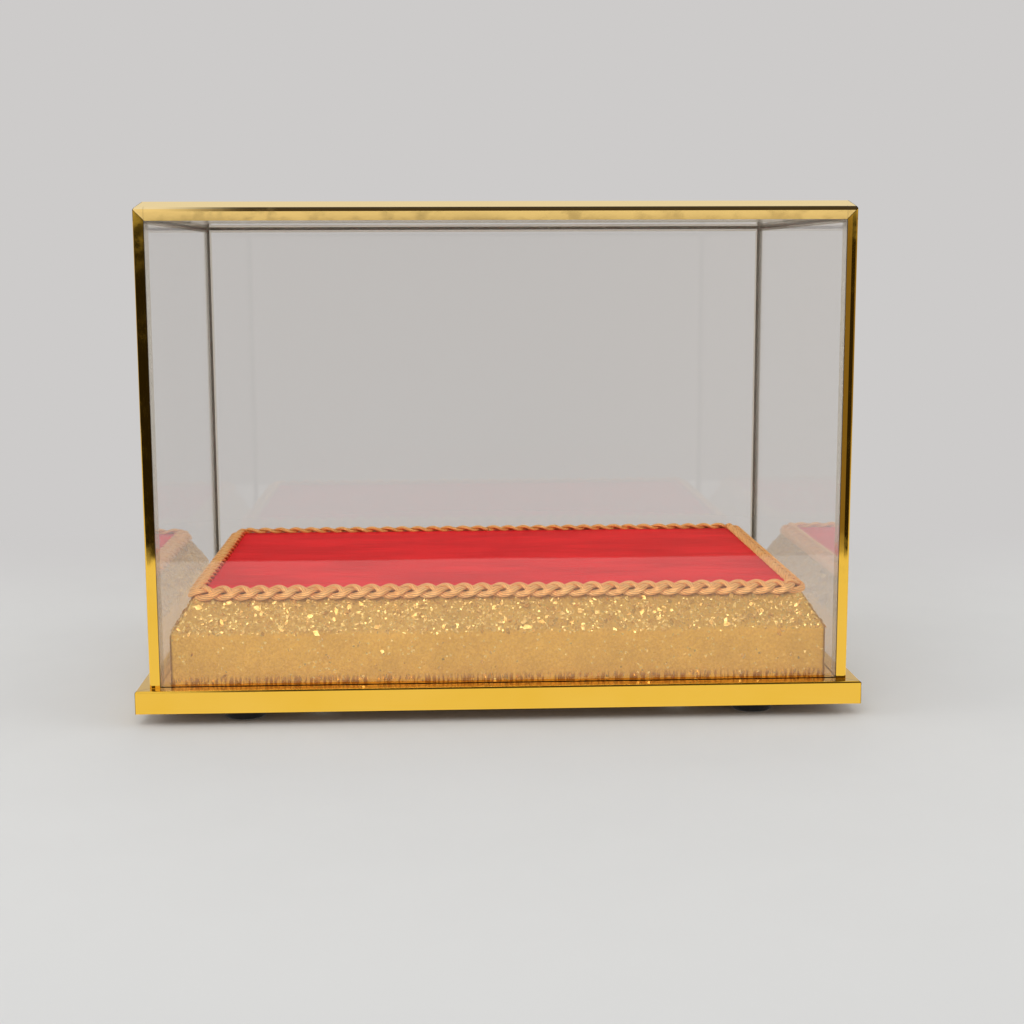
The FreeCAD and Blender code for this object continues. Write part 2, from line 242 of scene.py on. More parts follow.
def ray_kinds(start):
    """1 or 0 for a straight look, through glass too, a look by way of a mirror, and one behind a pane."""
    camera_ray = start.node("LightPath", out="Is Camera Ray")
    bent = camera_ray.beside("Is Transmission Ray")
    straight = (camera_ray + bent) * (camera_ray.beside("Diffuse Depth") < 0.5)
    shiny = (camera_ray.beside("Is Glossy Ray") + bent) > 0.5
    mirror = (camera_ray.beside("Glossy Depth") > 0.5) * shiny
    return straight, mirror, camera_ray.beside("Transmission Depth") > PANE_FACES + 0.5


def studio_world():
    world = bpy.data.worlds.new("studio")
    world.use_nodes = True
    world.node_tree.nodes.clear()
    start = Wire(world.node_tree)
    x, y, z = start.node("TexCoord", out="Generated").xyz()
    straight, mirror, behind_pane = ray_kinds(start)

    backwards = y.rise(*BEHIND_SEEN)
    seen = start.node("Background", {}, {"Color": backwards.blend(TABLE_TONE, WALL_TONE)})

    unlit = x.rise(*UNLIT_ACROSS).blend(UNLIT_LEFT, UNLIT_RIGHT)
    unlit = behind_pane.blend(unlit, UNLIT_BEHIND_PANE)
    low_down = z.rise(*TABLE_LINE).blend(WALL_TONE, unlit)
    ceiling = x.rise(*WINDOW_SIDE).blend(WINDOW, CEILING)
    high = z.rise(*WINDOW_TOP).blend(WINDOW, ceiling)
    room = z.rise(ROOM_TOP - ROOM_SOFT, ROOM_TOP + ROOM_SOFT).blend(low_down, high)
    behind = z.rise(*WALL_TOP).blend(WALL_TONE, HIGH_BEHIND)
    around = y.rise(*BEHIND_MIRRORED).blend(room, behind)
    mirrored = start.node("Background", {}, {"Color": around})

    light = start.node("Background", {}, {"Color": SKY_TONE, "Strength": SKY_STRENGTH})
    plain = start.node("MixShader", {}, {0: straight, 1: light, 2: seen})
    surface = start.node("MixShader", {}, {0: mirror, 1: plain, 2: mirrored})
    start.node("OutputWorld", {}, {"Surface": surface})
    return world


scene.world = studio_world()
print("world:", scene.world.name, "in", len(scene.world.node_tree.nodes), "nodes")

# %% Floor
FLOOR_FRONT, FLOOR_BACK, FLOOR_SIDE = -0.495, 1.6, 1.4
FADE_NEAR, FADE_FAR = 0.30, 0.52
TABLE_IN_MIRROR = (0.93, 0.915, 0.89, 1)
TO_WALL_SEEN, TO_WALL_MIRRORED = (0.02, 0.40), (-0.10, 0.10)


def floor_finish():
    """Lit near the case, where the shadow falls, and turning into the plain background further away."""
    material, start, place = new_finish("pale_table")
    _, y, _ = place.xyz()
    far = place.vector("LENGTH").beside("Value").rise(FADE_NEAR, FADE_FAR)
    tone = y.rise(*TO_WALL_SEEN).blend(TABLE_TONE, WALL_TONE)
    mottle = spots(place, 35, 4.0).blend((0.97, 0.97, 0.97, 1), (1, 1, 1, 1))
    straight, mirror, _ = ray_kinds(start)
    matt = start.node("BsdfDiffuse", {}, {"Color": tone.tinted(mottle)})
    in_mirror = y.rise(*TO_WALL_MIRRORED).blend(TABLE_IN_MIRROR, WALL_TONE)
    plain = start.node("Emission", {}, {"Color": mirror.blend(tone, in_mirror)})
    finished(start, start.node("MixShader", {}, {0: far * straight + mirror, 1: matt, 2: plain}))
    material.cycles.emission_sampling = "NONE"
    return material


def make_floor():
    mesh = bpy.data.meshes.new("table")
    corners = [(-FLOOR_SIDE, FLOOR_FRONT, 0), (FLOOR_SIDE, FLOOR_FRONT, 0),
               (FLOOR_SIDE, FLOOR_BACK, 0), (-FLOOR_SIDE, FLOOR_BACK, 0)]
    mesh.from_pydata(corners, [], [(0, 1, 2, 3)])
    table = bpy.data.objects.new("table", mesh)
    scene.collection.objects.link(table)
    mesh.materials.append(floor_finish())
    print("floor:", [round(side, 2) for side in table.dimensions], "m")


make_floor()

# %% [markdown]
# ### Lamps
# One large softbox in front gives the soft shadow, as a window would. Three weaker lamps fill the sides and
# the back, so that the case can be looked at from all round. The camera never sees a lamp itself, and the
# fill lamps aren't mirrored either: a square of light in a pane would not be part of the case.

# %% Lamps
KEY_PLACE, KEY_AIM = Vector((-0.22, -1.20, 1.15)), Vector((0, 0, 0.06))
KEY_SIZE, KEY_WATTS = (1.1, 0.8), 9.8
TENT_PLACES = {"tent_left": (-1.1, -0.15, 0.42), "tent_right": (1.1, -0.15, 0.42),
               "tent_back": (0, 1.3, 0.55)}
TENT_SIZE, TENT_WATTS = (0.9, 0.8), 5.0


def make_lamp(name, place, aim, size, watts):
    data = bpy.data.lights.new(name, "AREA")
    data.shape = "RECTANGLE"
    data.size, data.size_y = size
    data.energy = watts
    lamp = bpy.data.objects.new(name, data)
    lamp.location = place
    lamp.rotation_mode = "QUATERNION"
    lamp.rotation_quaternion = (aim - place).to_track_quat("-Z", "Y")
    lamp.visible_camera = False
    scene.collection.objects.link(lamp)
    return lamp


lamps = [make_lamp("softbox", KEY_PLACE, KEY_AIM, KEY_SIZE, KEY_WATTS)]
for name, place in TENT_PLACES.items():
    lamps.append(make_lamp(name, Vector(place), KEY_AIM, TENT_SIZE, TENT_WATTS))
    lamps[-1].visible_glossy = lamps[-1].visible_transmission = False
print("lamps:", [lamp.name for lamp in lamps])

# %% [markdown]
# ## Gold strip
# The edges are thin plated angle strip, bright as a mirror but not flat: hand pressing leaves slow waves,
# so reflections wander. Slow noise in the normal gives that. The side that is glued to the glass, and the cut
# edges, are not plated, and show through the panes as dull brown lines. They can be told from the plated
# side by where they lie. The top strips are painted a paler gold, and the slope above the fold paler still: a
# painted reflection of the pale room, as in the photograph. The posts lean and bow by a trace, so that their
# outer half mirrors a darker part of the room. The places below are in metres.

# %% Gold strip finish
OUTER_X, OUTER_Y, FOLD_Z, BASE_TOP = 0.1525, 0.1015, 0.2206, 0.0161
GLUED_X, GLUED_Y, GLUED_TOP, GLUED_FOOT = 0.15155, 0.10055, 0.21965, 0.0165
UNDER_X, UNDER_Y, UNDER_Z = 0.147, 0.096, 0.2157
CUT_X, CUT_Y, CUT_HALF = 0.1479, 0.0969, 0.00005
LEG_X, LEG_Y = 0.1514, 0.1004
JOINT_HALF, JOINT_CLEAR = 0.00016, 0.0003
POST_TOP, POST_LEAN = 0.2155, 0.004
POST_BOW, BOW_X, BOW_Y = 0.10, 0.1500, 0.0990
WAVE_DEEP_MM = 0.025


def strip_joints(x, y, z):
    """1 along the mitres: between two top or two base strips, and between a post and the top strips."""
    from_side, from_front, from_top = OUTER_X - abs(x), OUTER_Y - abs(y), FOLD_Z - z
    flat = (abs(from_side - from_front) < JOINT_HALF) * ((z < BASE_TOP) + (z > POST_TOP))
    front = (abs(from_side - from_top) < JOINT_HALF) * (from_side > JOINT_CLEAR)
    side = (abs(from_front - from_top) < JOINT_HALF) * (from_front > JOINT_CLEAR)
    return (flat + front + side) > 0.5


def strip_glued(x, y, z):
    """1 on the sides that are glued to glass, and on the cut edges of the legs."""
    inside = (abs(x) < GLUED_X) * (abs(y) < GLUED_Y) * (z < GLUED_TOP) * (z > GLUED_FOOT)
    cut_front = (abs(abs(x) - CUT_X) < CUT_HALF) * (abs(y) > LEG_Y)
    cut_side = (abs(abs(y) - CUT_Y) < CUT_HALF) * (abs(x) > LEG_X)
    return (inside + (cut_side + cut_front) * (z > GLUED_FOOT)) > 0.5


def gold_strip():
    material, start, place = new_finish("gold_strip")
    x, y, z = place.xyz()
    from_edge = x.maths("MAXIMUM", OUTER_X - abs(x), OUTER_Y - abs(y))
    post_end = x.maths("MAXIMUM", FOLD_Z - from_edge, POST_TOP)
    plated_and_painted_reflection = spots(place, 30, 3.0).blend(screen(246, 199, 84), screen(240, 190, 62))
    # Painted reflection: the top strips, and the slope above the fold still more, are painted paler, as if
    # they mirrored the pale room.
    plated_and_painted_reflection = (z > post_end).blend(plated_and_painted_reflection, screen(250, 213, 134))
    plated_and_painted_reflection = (z > FOLD_Z).blend(plated_and_painted_reflection, screen(250, 226, 172))
    smear = spots(place, 9, 4.0).rise(0.5, 0.75)
    dull = spots(place, 3, 3.0).blend(screen(58, 47, 35), screen(84, 71, 56))
    under_top = (z > UNDER_Z) * (abs(x) > UNDER_X) * (abs(y) < UNDER_Y)
    dull = under_top.blend(dull, screen(196, 152, 146))
    per_wave = 1 / (WAVE_DEEP_MM * MM)
    lean = POST_LEAN * per_wave * z.maths("MINIMUM", z, post_end)
    outer_half = x.maths("MAXIMUM", abs(x) - BOW_X, 0.0) + y.maths("MAXIMUM", abs(y) - BOW_Y, 0.0)
    bow = POST_BOW * per_wave * outer_half * (z < post_end) * (z > BASE_TOP)
    waves = spots(place, 26, 1.0) + 0.05 * spots(place, 2.5, 2.0) + lean + bow
    joint, glued = strip_joints(x, y, z), strip_glued(x, y, z)
    finished(start, start.node("BsdfPrincipled", {}, {
        "Base Color": joint.blend(glued.blend(plated_and_painted_reflection, dull), screen(58, 40, 16)),
        "Metallic": 1 - glued,
        "Roughness": 0.05 + 0.07 * smear + 0.55 * glued + 0.3 * joint,
        "Normal": bumps(waves, WAVE_DEEP_MM),
    }))
    return material


add_finish(gold_strip)

# %% [markdown]
# ## Glass and silicone
# The panes are 3 mm float glass. A real glass shader bends and mirrors light correctly, but lamps then
# reach the inside only by chance, as noise. So rays that look for a lamp pass straight through, and all
# other rays meet true glass. A trace of warm tint and a few wiped smears keep the panes from looking like
# empty air. Silicone in the inside corners is cloudy, so it is a mix of a clear and a milky shader.


# %% Glass and silicone finishes
def clear_glass():
    material, start, place = new_finish("clear_glass")
    tint = spots(place, 120, 1.0).blend((0.970, 0.963, 0.955, 1), (0.963, 0.953, 0.942, 1))
    wiped = spots(place, 14, 4.0, (1.0, 1.0, 0.25)).rise(0.62, 0.85)
    glass = start.node("BsdfPrincipled", {}, {
        "Base Color": tint,
        "Roughness": 0.012 * wiped,
        "Normal": bumps(spots(place, 60, 0.0), 0.02),
        "IOR": 1.5,
        "Transmission Weight": 1.0,
    })
    clear = start.node("BsdfTransparent", {}, {"Color": (0.95, 0.94, 0.92, 1)})
    lamp_ray = start.node("LightPath", out="Is Shadow Ray")
    finished(start, start.node("MixShader", {}, {0: lamp_ray, 1: glass, 2: clear}))
    return material


def clear_silicone():
    """Cloudy sealant in the inside corners: part clear, part milky, with small bubbles."""
    material, start, place = new_finish("clear_silicone")
    cloud = spots(place, 6, 3.0, (1.0, 1.0, 0.3))
    milky = start.node("BsdfPrincipled", {}, {
        "Base Color": cloud.blend(screen(196, 190, 178), screen(222, 218, 210)),
        "Roughness": 0.28 + 0.2 * cloud,
        "Normal": bumps(spots(place, 1.5, 2.0), 0.05),
        "IOR": 1.41,
    })
    clear = start.node("BsdfTransparent", {}, {"Color": (0.93, 0.91, 0.87, 1)})
    finished(start, start.node("MixShader", {}, {0: 0.05 + 0.09 * cloud, 1: clear, 2: milky}))
    return material


add_finish(clear_glass)
add_finish(clear_silicone)

# %% [markdown]
# ## Gold fabric
# The plinth is dressed in a metallic cloth. Close up it is a fine crinkle with a dull gold ground and
# darker pits, and foil flecks that catch the light. The ground is the material here. The flecks are real
# pieces of foil, made further down, because a glint needs a face of its own to mirror the lamp. The finish
# has to know where the bevel, the hem and the corners are, as it paints shade on all three, so the cloth's
# measures come first. They are in millimetres, from the imported node that the cloth replaces.

# %% Measures of the cloth
low, high = (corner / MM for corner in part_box("gold_fabric_front"))
PLINTH_X, PLINTH_Y = high.x, -low.y
FOOT_CLEAR = 0.2
CLOTH_FOOT, CLOTH_TOP = low.z + FOOT_CLEAR, high.z
WALL_UP, BEVEL_IN, LAP_IN = 23.0, 10.3, 4.4
KNEE_Z = low.z + WALL_UP
BEVEL_UP = CLOTH_TOP - KNEE_Z
print("plinth:", round(2 * PLINTH_X, 1), "x", round(2 * PLINTH_Y, 1), "mm, knee at", round(KNEE_Z, 1), "mm")

# %% Fabric, fleck and braid finishes
KNEE_SOFT = 1.5 * MM
HEM_LOW, HEM_HIGH, HEM_PAINTED_SHADE = 0.0165, 0.0205, (0.50, 0.36, 0.10, 1)
CORNER_LINE, CORNER_FADE, CORNER_PAINTED_SHADE = 0.0004, 0.0016, (0.34, 0.26, 0.14, 1)
BEVEL_PAINTED_SHADE, GLITTER_CELLS = 0.29, 1250.0


def from_cloth_corner(x, y, z):
    """How far a place is from the nearest upright corner of the plinth, in metres."""
    inward = BEVEL_IN * MM * ((z - KNEE_Z * MM) * (1 / (BEVEL_UP * MM))).clamped()
    from_side, from_front = PLINTH_X * MM - inward - abs(x), PLINTH_Y * MM - inward - abs(y)
    return from_side.maths("MAXIMUM", from_side, from_front)


def gold_fabric():
    """Dull gold cloth with a fine glitter: small cells, some of foil, that face slightly different ways."""
    material, start, place = new_finish("gold_fabric")
    x, y, z = place.xyz()
    on_bevel = z.rise(KNEE_Z * MM - KNEE_SOFT, KNEE_Z * MM + KNEE_SOFT)
    cell = start.node("TexVoronoi", {}, {"Vector": place, "Scale": GLITTER_CELLS})
    chance = cell.beside("Color")
    first, second, _ = chance.xyz()
    weave = spots(place, 0.9, 3.0)
    foil = (second + 0.20 * on_bevel).rise(0.965, 0.985)
    ground = (0.4 * first + 0.6 * weave).blend(screen(220, 153, 54), screen(255, 203, 86))
    cloud = spots(place, 16, 3.0).rise(0.3, 0.7)
    tone_and_painted_shade = cloud.blend((0.90, 0.89, 0.86, 1), (1, 1, 1, 1))
    # Painted shade: the bevel is darkened, to even out the stronger light and glints that it gets from the
    # softbox.
    tone_and_painted_shade = (BEVEL_PAINTED_SHADE * on_bevel).blend(tone_and_painted_shade, (0, 0, 0, 1))
    # Painted shade along the hem: dark ticks in the tucks at the lower edge of the cloth.
    hem_shade_ticks = spots(place, 1.3, 1.0, (1.0, 1.0, 0.2)).rise(0.44, 0.58)
    tone_and_painted_shade = ((1 - z.rise(HEM_LOW, HEM_HIGH)) * hem_shade_ticks).blend(tone_and_painted_shade, HEM_PAINTED_SHADE)
    # Painted shade in the fold of the cloth at each upright corner.
    corner_shade_mask = from_cloth_corner(x, y, z).rise(CORNER_LINE, CORNER_FADE)
    tone_and_painted_shade = corner_shade_mask.blend(CORNER_PAINTED_SHADE, tone_and_painted_shade)
    facing = start.node("NewGeometry", out="Normal")
    sway = chance.vector("SUBTRACT", (0.5, 0.5, 0.5))
    strength = 0.12 + 0.20 * on_bevel + 0.45 * foil
    sway = sway.node("VectorMath", {"operation": "SCALE"}, {0: sway, "Scale": strength})
    tilted = facing.vector("ADD", sway).vector("NORMALIZE")
    finished(start, start.node("BsdfPrincipled", {}, {
        "Base Color": foil.blend(ground.tinted(tone_and_painted_shade), screen(255, 212, 124)),
        "Metallic": 0.12 + 0.45 * foil,
        "Roughness": 0.55 - 0.33 * foil,
        "Normal": start.node("Bump", {}, {"Height": weave, "Distance": 0.2 * MM, "Normal": tilted}),
    }))
    return material


def foil_fleck():
    """Bright foil, a little different from fleck to fleck."""
    material, start, place = new_finish("foil_fleck")
    tone = spots(place, 3, 2.0)
    finished(start, start.node("BsdfPrincipled", {}, {
        "Base Color": tone.rise(0.35, 0.65).blend(screen(226, 168, 80), screen(250, 206, 122)),
        "Metallic": 0.45 + 0.2 * tone,
        "Roughness": 0.17 + 0.15 * spots(place, 1.2, 2.0),
        "Normal": bumps(spots(place, 0.5, 2.0), 0.05),
    }))
    return material


def gold_braid():
    """Metallic yarn: bright foil on the crowns of the yarns, and painted shade in the hollows between them.
    """
    material, start, place = new_finish("gold_braid")
    crown = start.node("Attribute", {"attribute_name": "crown"}, out="Fac")
    wound = spots(place, 0.35, 2.0)
    patch = spots(place, 6, 2.0)
    foil = (0.6 * wound + 0.4 * patch).rise(0.3, 0.7).blend(screen(252, 172, 92), screen(255, 204, 130))
    finished(start, start.node("BsdfPrincipled", {}, {
        # Painted shade: the hollows between the yarns are darker, the crowns bright foil.
        "Base Color": crown.rise(0.1, 0.7).blend(screen(194, 122, 58), foil),
        "Metallic": 0.25 + 0.3 * crown,
        "Roughness": 0.30 + 0.2 * wound,
        "Normal": bumps(wound, 0.14),
    }))
    return material


add_finish(gold_fabric)
add_finish(foil_fleck)
add_finish(gold_braid)

# %% [markdown]
# ## Velvet, board, wood, rubber and steel
# Velvet is bright at a glancing angle because its pile stands up, which the sheen of the shader gives.
# Brushed patches and strokes are painted lighter and darker in the colour, a painted sheen of pile laid
# another way, as the shader's sheen is the same all over. The other finishes are hidden most of the time, but
# the feet, the screws and the raw fibreboard show from below, and the softwood shows when the case is taken
# apart.


# %% Velvet finish
def red_velvet():
    material, start, place = new_finish("red_velvet")
    pile = spots(place, 0.45, 3.0)
    brushed_painted_sheen = spots(place, 24, 3.0, (0.4, 1.0, 1.0)).rise(0.25, 0.75)
    strokes = spots(place, 2.2, 2.0, (0.12, 1.0, 1.0))
    # Painted sheen: brushed patches and strokes make the red lighter and darker, where pile laid another way
    # would catch the light.
    nap_and_painted_sheen = 0.36 * pile + 0.24 * brushed_painted_sheen + 0.40 * strokes
    finished(start, start.node("BsdfPrincipled", {}, {
        "Base Color": nap_and_painted_sheen.rise(0.2, 0.8).blend(screen(207, 8, 19), screen(252, 32, 41)),
        "Roughness": 0.75 + 0.2 * pile,
        "Normal": bumps(pile + 0.6 * strokes, 0.25),
        "Specular IOR Level": 0.15,
        "Sheen Weight": 0.18,
        "Sheen Roughness": 0.35,
        "Sheen Tint": (1.0, 0.32, 0.30, 1),
    }))
    return material


add_finish(red_velvet)


# %% Board, wood, rubber and steel finishes
def fibreboard():
    material, start, place = new_finish("fibreboard")
    fibre = spots(place, 1.2, 4.0, (0.35, 1.0, 1.0))
    mottle = 0.6 * fibre + 0.4 * spots(place, 20, 2.0)
    finished(start, start.node("BsdfPrincipled", {}, {
        "Base Color": mottle.blend(screen(128, 98, 68), screen(176, 144, 106)),
        "Roughness": 0.72 + 0.2 * fibre,
        "Normal": bumps(fibre, 0.08),
    }))
    return material


def plinth_wood():
    material, start, place = new_finish("plinth_wood")
    grain = spots(place, 2.5, 4.0, (0.08, 1.0, 1.0))
    finished(start, start.node("BsdfPrincipled", {}, {
        "Base Color": grain.rise(0.3, 0.7).blend(screen(186, 146, 98), screen(224, 192, 148)),
        "Roughness": 0.6 + 0.2 * grain,
        "Normal": bumps(grain, 0.1),
    }))
    return material


def black_rubber():
    material, start, place = new_finish("black_rubber")
    bloom = spots(place, 2, 3.0)
    finished(start, start.node("BsdfPrincipled", {}, {
        "Base Color": bloom.blend(screen(22, 20, 20), screen(46, 43, 42)),
        "Roughness": 0.66 + 0.25 * bloom,
        "Specular IOR Level": 0.2,
        "Normal": bumps(spots(place, 0.4, 2.0), 0.06),
    }))
    return material


def screw_steel():
    material, start, place = new_finish("screw_steel")
    frost = spots(place, 0.8, 3.0)
    finished(start, start.node("BsdfPrincipled", {}, {
        "Base Color": frost.blend(screen(176, 174, 166), screen(212, 212, 208)),
        "Metallic": 0.9 + 0.1 * frost,
        "Roughness": 0.25 + 0.25 * frost,
        "Normal": bumps(frost, 0.03),
    }))
    return material


for make in (fibreboard, plinth_wood, black_rubber, screw_steel):
    add_finish(make)

# %% [markdown]
# ## Dressing the hard pieces
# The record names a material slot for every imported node. One table from slot to finish then dresses them
# all, and nothing has to be listed twice.


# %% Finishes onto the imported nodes
def dress(piece, material):
    if not piece.material_slots:
        piece.data.materials.append(material)
    for slot in piece.material_slots:
        slot.material = material


for row in frame["record"]["subparts"]:
    dress(frame["nodes"][row["node"]], finishes[row["material_slot"]])

# %% [markdown]
# ## A flag for the lamps
# A photographer sets a flag, a piece of black card, so that a bright metal edge doesn't mirror a lamp as a
# white line. Light linking does the same here: the lamps don't shine on the gold strips, which still mirror
# the room.

# %% Flag the lamps off the mirror strips
flagged = bpy.data.collections.new("kept_from_lamps")
for row in frame["record"]["subparts"]:
    if row["material_slot"] == "gold_strip":
        flagged.objects.link(frame["nodes"][row["node"]])
for member in flagged.collection_objects:
    member.light_linking.link_state = "EXCLUDE"
for lamp in lamps:
    lamp.light_linking.receiver_collection = flagged

# %% [markdown]
# ## Building a piece
# The soft pieces are made from points that we work out, in millimetres. Modelling tools could do it too, but
# a list of points and faces gives the same mesh on every run. A sheet is made as one layer, and a modifier
# gives it its thickness on the side away from its face. The pieces ride on the base, as the plinth does.


# %% A piece from points and faces
def make_piece(name, points_mm, faces, material, body="base", smooth=True):
    """A mesh piece from points in millimetres. It rides on a body of the frame."""
    mesh = bpy.data.meshes.new(name)
    mesh.from_pydata([Vector(point) * MM for point in points_mm], [], faces)
    mesh.polygons.foreach_set("use_smooth", [smooth] * len(mesh.polygons))
    mesh.materials.append(material)
    piece = bpy.data.objects.new(name, mesh)
    scene.collection.objects.link(piece)
    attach(piece, body)
    return piece


def grid_faces(rows, columns):
    """Quads of a grid of points that is listed row by row."""
    faces = []
    for row in range(rows - 1):
        for column in range(columns - 1):
            corner = row * columns + column
            faces.append((corner, corner + 1, corner + columns + 1, corner + columns))
    return faces


def thicken(piece, thick_mm):
    """Gives a sheet its thickness, on the side away from its face."""
    solid = piece.modifiers.new("thickness", "SOLIDIFY")
    solid.thickness = thick_mm * MM
    solid.offset = -1


# %% [markdown]
# ## Fabric panels
# Each side of the plinth is one panel of cloth, glued up the wall, over the knee, up the bevel and a little
# way over the edge, where the braid hides it. Cut flat it is a trapezium above the knee. We walk up that
# profile with small steps, round its corners by averaging, and lay a grid along it. Cloth over wood is never
# quite flat, so slow noise lifts it by a few tenths of a millimetre. It is tucked in at the lower edge and
# folded in at the ends.

# %% The profile of the cloth
PROFILE_STEP, ROUNDINGS = 0.8, 3


def cloth_profile():
    """Points (in from the wall, height) up the cloth, with its corners rounded."""
    corners = [(0, CLOTH_FOOT), (0, KNEE_Z), (BEVEL_IN, CLOTH_TOP), (BEVEL_IN + LAP_IN, CLOTH_TOP)]
    points = []
    for (x0, z0), (x1, z1) in zip(corners, corners[1:]):
        steps = round(math.hypot(x1 - x0, z1 - z0) / PROFILE_STEP)
        points += [(x0 + (x1 - x0) * i / steps, z0 + (z1 - z0) * i / steps) for i in range(steps)]
    points.append(corners[-1])
    for _ in range(ROUNDINGS):
        inner = [((a[0] + 2 * b[0] + c[0]) / 4, (a[1] + 2 * b[1] + c[1]) / 4)
                 for a, b, c in zip(points, points[1:], points[2:])]
        points = [points[0]] + inner + [points[-1]]
    return points


profile = cloth_profile()
CLOTH_LENGTH = sum(math.dist(a, b) for a, b in zip(profile, profile[1:]))
print("cloth, from foot to lap:", round(CLOTH_LENGTH, 1), "mm in", len(profile), "rows")

# %% One panel
END_GAP, END_FOLD, END_FOLD_DEEP = 0.2, 1.8, 0.7
END_COLUMNS, END_CLEAR, COLUMN_STEP = [0.3, 0.6, 0.9, 1.3, 1.8], 2.4, 1.3
SLOW_LIFT, SLOW_LONG, SLOW_TALL = 0.16, 14, 11
QUICK_LIFT, QUICK_LONG = 0.07, 4
TUCK_HIGH, TUCK_DEEP, TUCK_PITCH = 5.0, 0.5, 3.1
CLOTH_THICK = 0.45


def cloth_lift(along, row, from_end, seed):
    """How far the cloth stands off the wood at a place, in mm."""
    up_cloth = row * PROFILE_STEP
    slow = noise.noise(Vector((along / SLOW_LONG, up_cloth / SLOW_TALL, seed)))
    quick = noise.noise(Vector((along / QUICK_LONG, up_cloth / QUICK_LONG, seed + 7)))
    tuck = noise.noise(Vector((along / TUCK_PITCH, seed, 3)))
    lift = SLOW_LIFT * slow + QUICK_LIFT * quick
    lift += TUCK_DEEP * tuck * max(0, 1 - up_cloth / TUCK_HIGH)
    return lift - END_FOLD_DEEP * max(0, 1 - from_end / END_FOLD) ** 2


def cloth_place(half_long, half_side, along_share, row, seed):
    """A point of a front-facing panel, and the cloth's outward direction there."""
    inward, height = profile[row]
    before, after = profile[max(row - 1, 0)], profile[min(row + 1, len(profile) - 1)]
    run, climb = after[0] - before[0], after[1] - before[1]
    outward = Vector((0, -climb, run)).normalized()
    end = half_long - inward - END_GAP
    along = along_share * end
    lift = cloth_lift(along, row, end - abs(along), seed)
    return Vector((along, -(half_side - inward), height)) + outward * lift, outward


def column_shares(half_long):
    """Places along a panel, from -1 to 1, closer together at its folded ends."""
    middle = half_long - END_CLEAR
    count = round(2 * middle / COLUMN_STEP)
    left = [-1.0] + [-1 + end / half_long for end in END_COLUMNS]
    between = [middle * (2 * i / count - 1) / half_long for i in range(count + 1)]
    return left + between + [-x for x in left[::-1]]


PANELS = {"front": (PLINTH_X, PLINTH_Y, 0), "right": (PLINTH_Y, PLINTH_X, 90),
          "back": (PLINTH_X, PLINTH_Y, 180), "left": (PLINTH_Y, PLINTH_X, 270)}


def make_panel(side, seed):
    half_long, half_side, turn = PANELS[side]
    spin = Matrix.Rotation(math.radians(turn), 3, "Z")
    shares = column_shares(half_long)
    points = []
    for row in range(len(profile)):
        points += [spin @ cloth_place(half_long, half_side, share, row, seed)[0] for share in shares]
    faces = grid_faces(len(profile), len(shares))
    panel = make_piece("fabric_" + side, points, faces, finishes["gold_fabric"])
    thicken(panel, CLOTH_THICK)
    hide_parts("gold_fabric_" + side)
    return panel


CLOTH_SEED = {side: 11.0 * (1 + number) for number, side in enumerate(PANELS)}
panels = {side: make_panel(side, CLOTH_SEED[side]) for side in PANELS}
print("panels:", {side: len(panel.data.vertices) for side, panel in panels.items()})

# %% [markdown]
# ## Foil flecks
# The sparkle of the cloth is thin foil, cut small and stuck on at slightly different angles. Only a few
# face the lamp at one time, so only a few shine. A bump map would blur that, so every fleck is a small flat
# chip of its own, scattered over the panel with seeded chance: many on the bevel, few on the wall. Frayed
# metal threads stand along the hem.

# %% Flecks on a panel
FLECKS_PER_MM2 = {"bevel": 0.11, "wall": 0.004}
FLECK_TILT, FLECK_MOST, FLECK_PROUD = math.radians(15), 1.9, 0.22
THREAD_PITCH, THREAD_WIDE, THREAD_TALL, THREAD_LEAN = 2.3, (0.12, 0.3), (0.8, 2.6), 0.5
FLECK_REACH, THREAD_REACH, FOIL_THICK = 0.992, 0.985, 0.06
HEM_ROW, KNEE_ROW = 2, round((WALL_UP - FOOT_CLEAR) / PROFILE_STEP)


def one_fleck(chance, centre, outward, sideways):
    """Corners of one irregular flat chip, tilted a little out of the cloth."""
    upward = outward.cross(sideways)
    tilt = Matrix.Rotation(chance.gauss(0, FLECK_TILT), 3, sideways)
    tilt = tilt @ Matrix.Rotation(chance.gauss(0, FLECK_TILT), 3, upward)
    a, b = tilt @ sideways, tilt @ upward
    turn, size = chance.uniform(0, math.pi), min(FLECK_MOST, chance.lognormvariate(0.05, 0.35))
    slim, count = chance.uniform(0.35, 0.75), chance.choice((4, 4, 5, 6))
    corners = []
    for i in range(count):
        angle = 2 * math.pi * (i + chance.uniform(-0.25, 0.25)) / count
        x, y = size * math.cos(angle), size * slim * math.sin(angle)
        x, y = x * math.cos(turn) - y * math.sin(turn), x * math.sin(turn) + y * math.cos(turn)
        corners.append(centre + a * x + b * y + outward * FLECK_PROUD)
    return corners


def one_thread(chance, centre, outward):
    """Corners of a frayed metal thread that stands at the hem."""
    wide, tall = chance.uniform(*THREAD_WIDE), chance.uniform(*THREAD_TALL)
    lean = chance.uniform(-THREAD_LEAN, THREAD_LEAN)
    foot = centre + outward * 0.15
    tip = foot + Vector((lean, 0, tall)) + outward * chance.uniform(0.0, 0.35)
    side = Vector((wide, 0, 0)) + outward * chance.uniform(-0.12, 0.12)
    return [foot - side, foot + side, tip + side * 0.6, tip - side * 0.6]


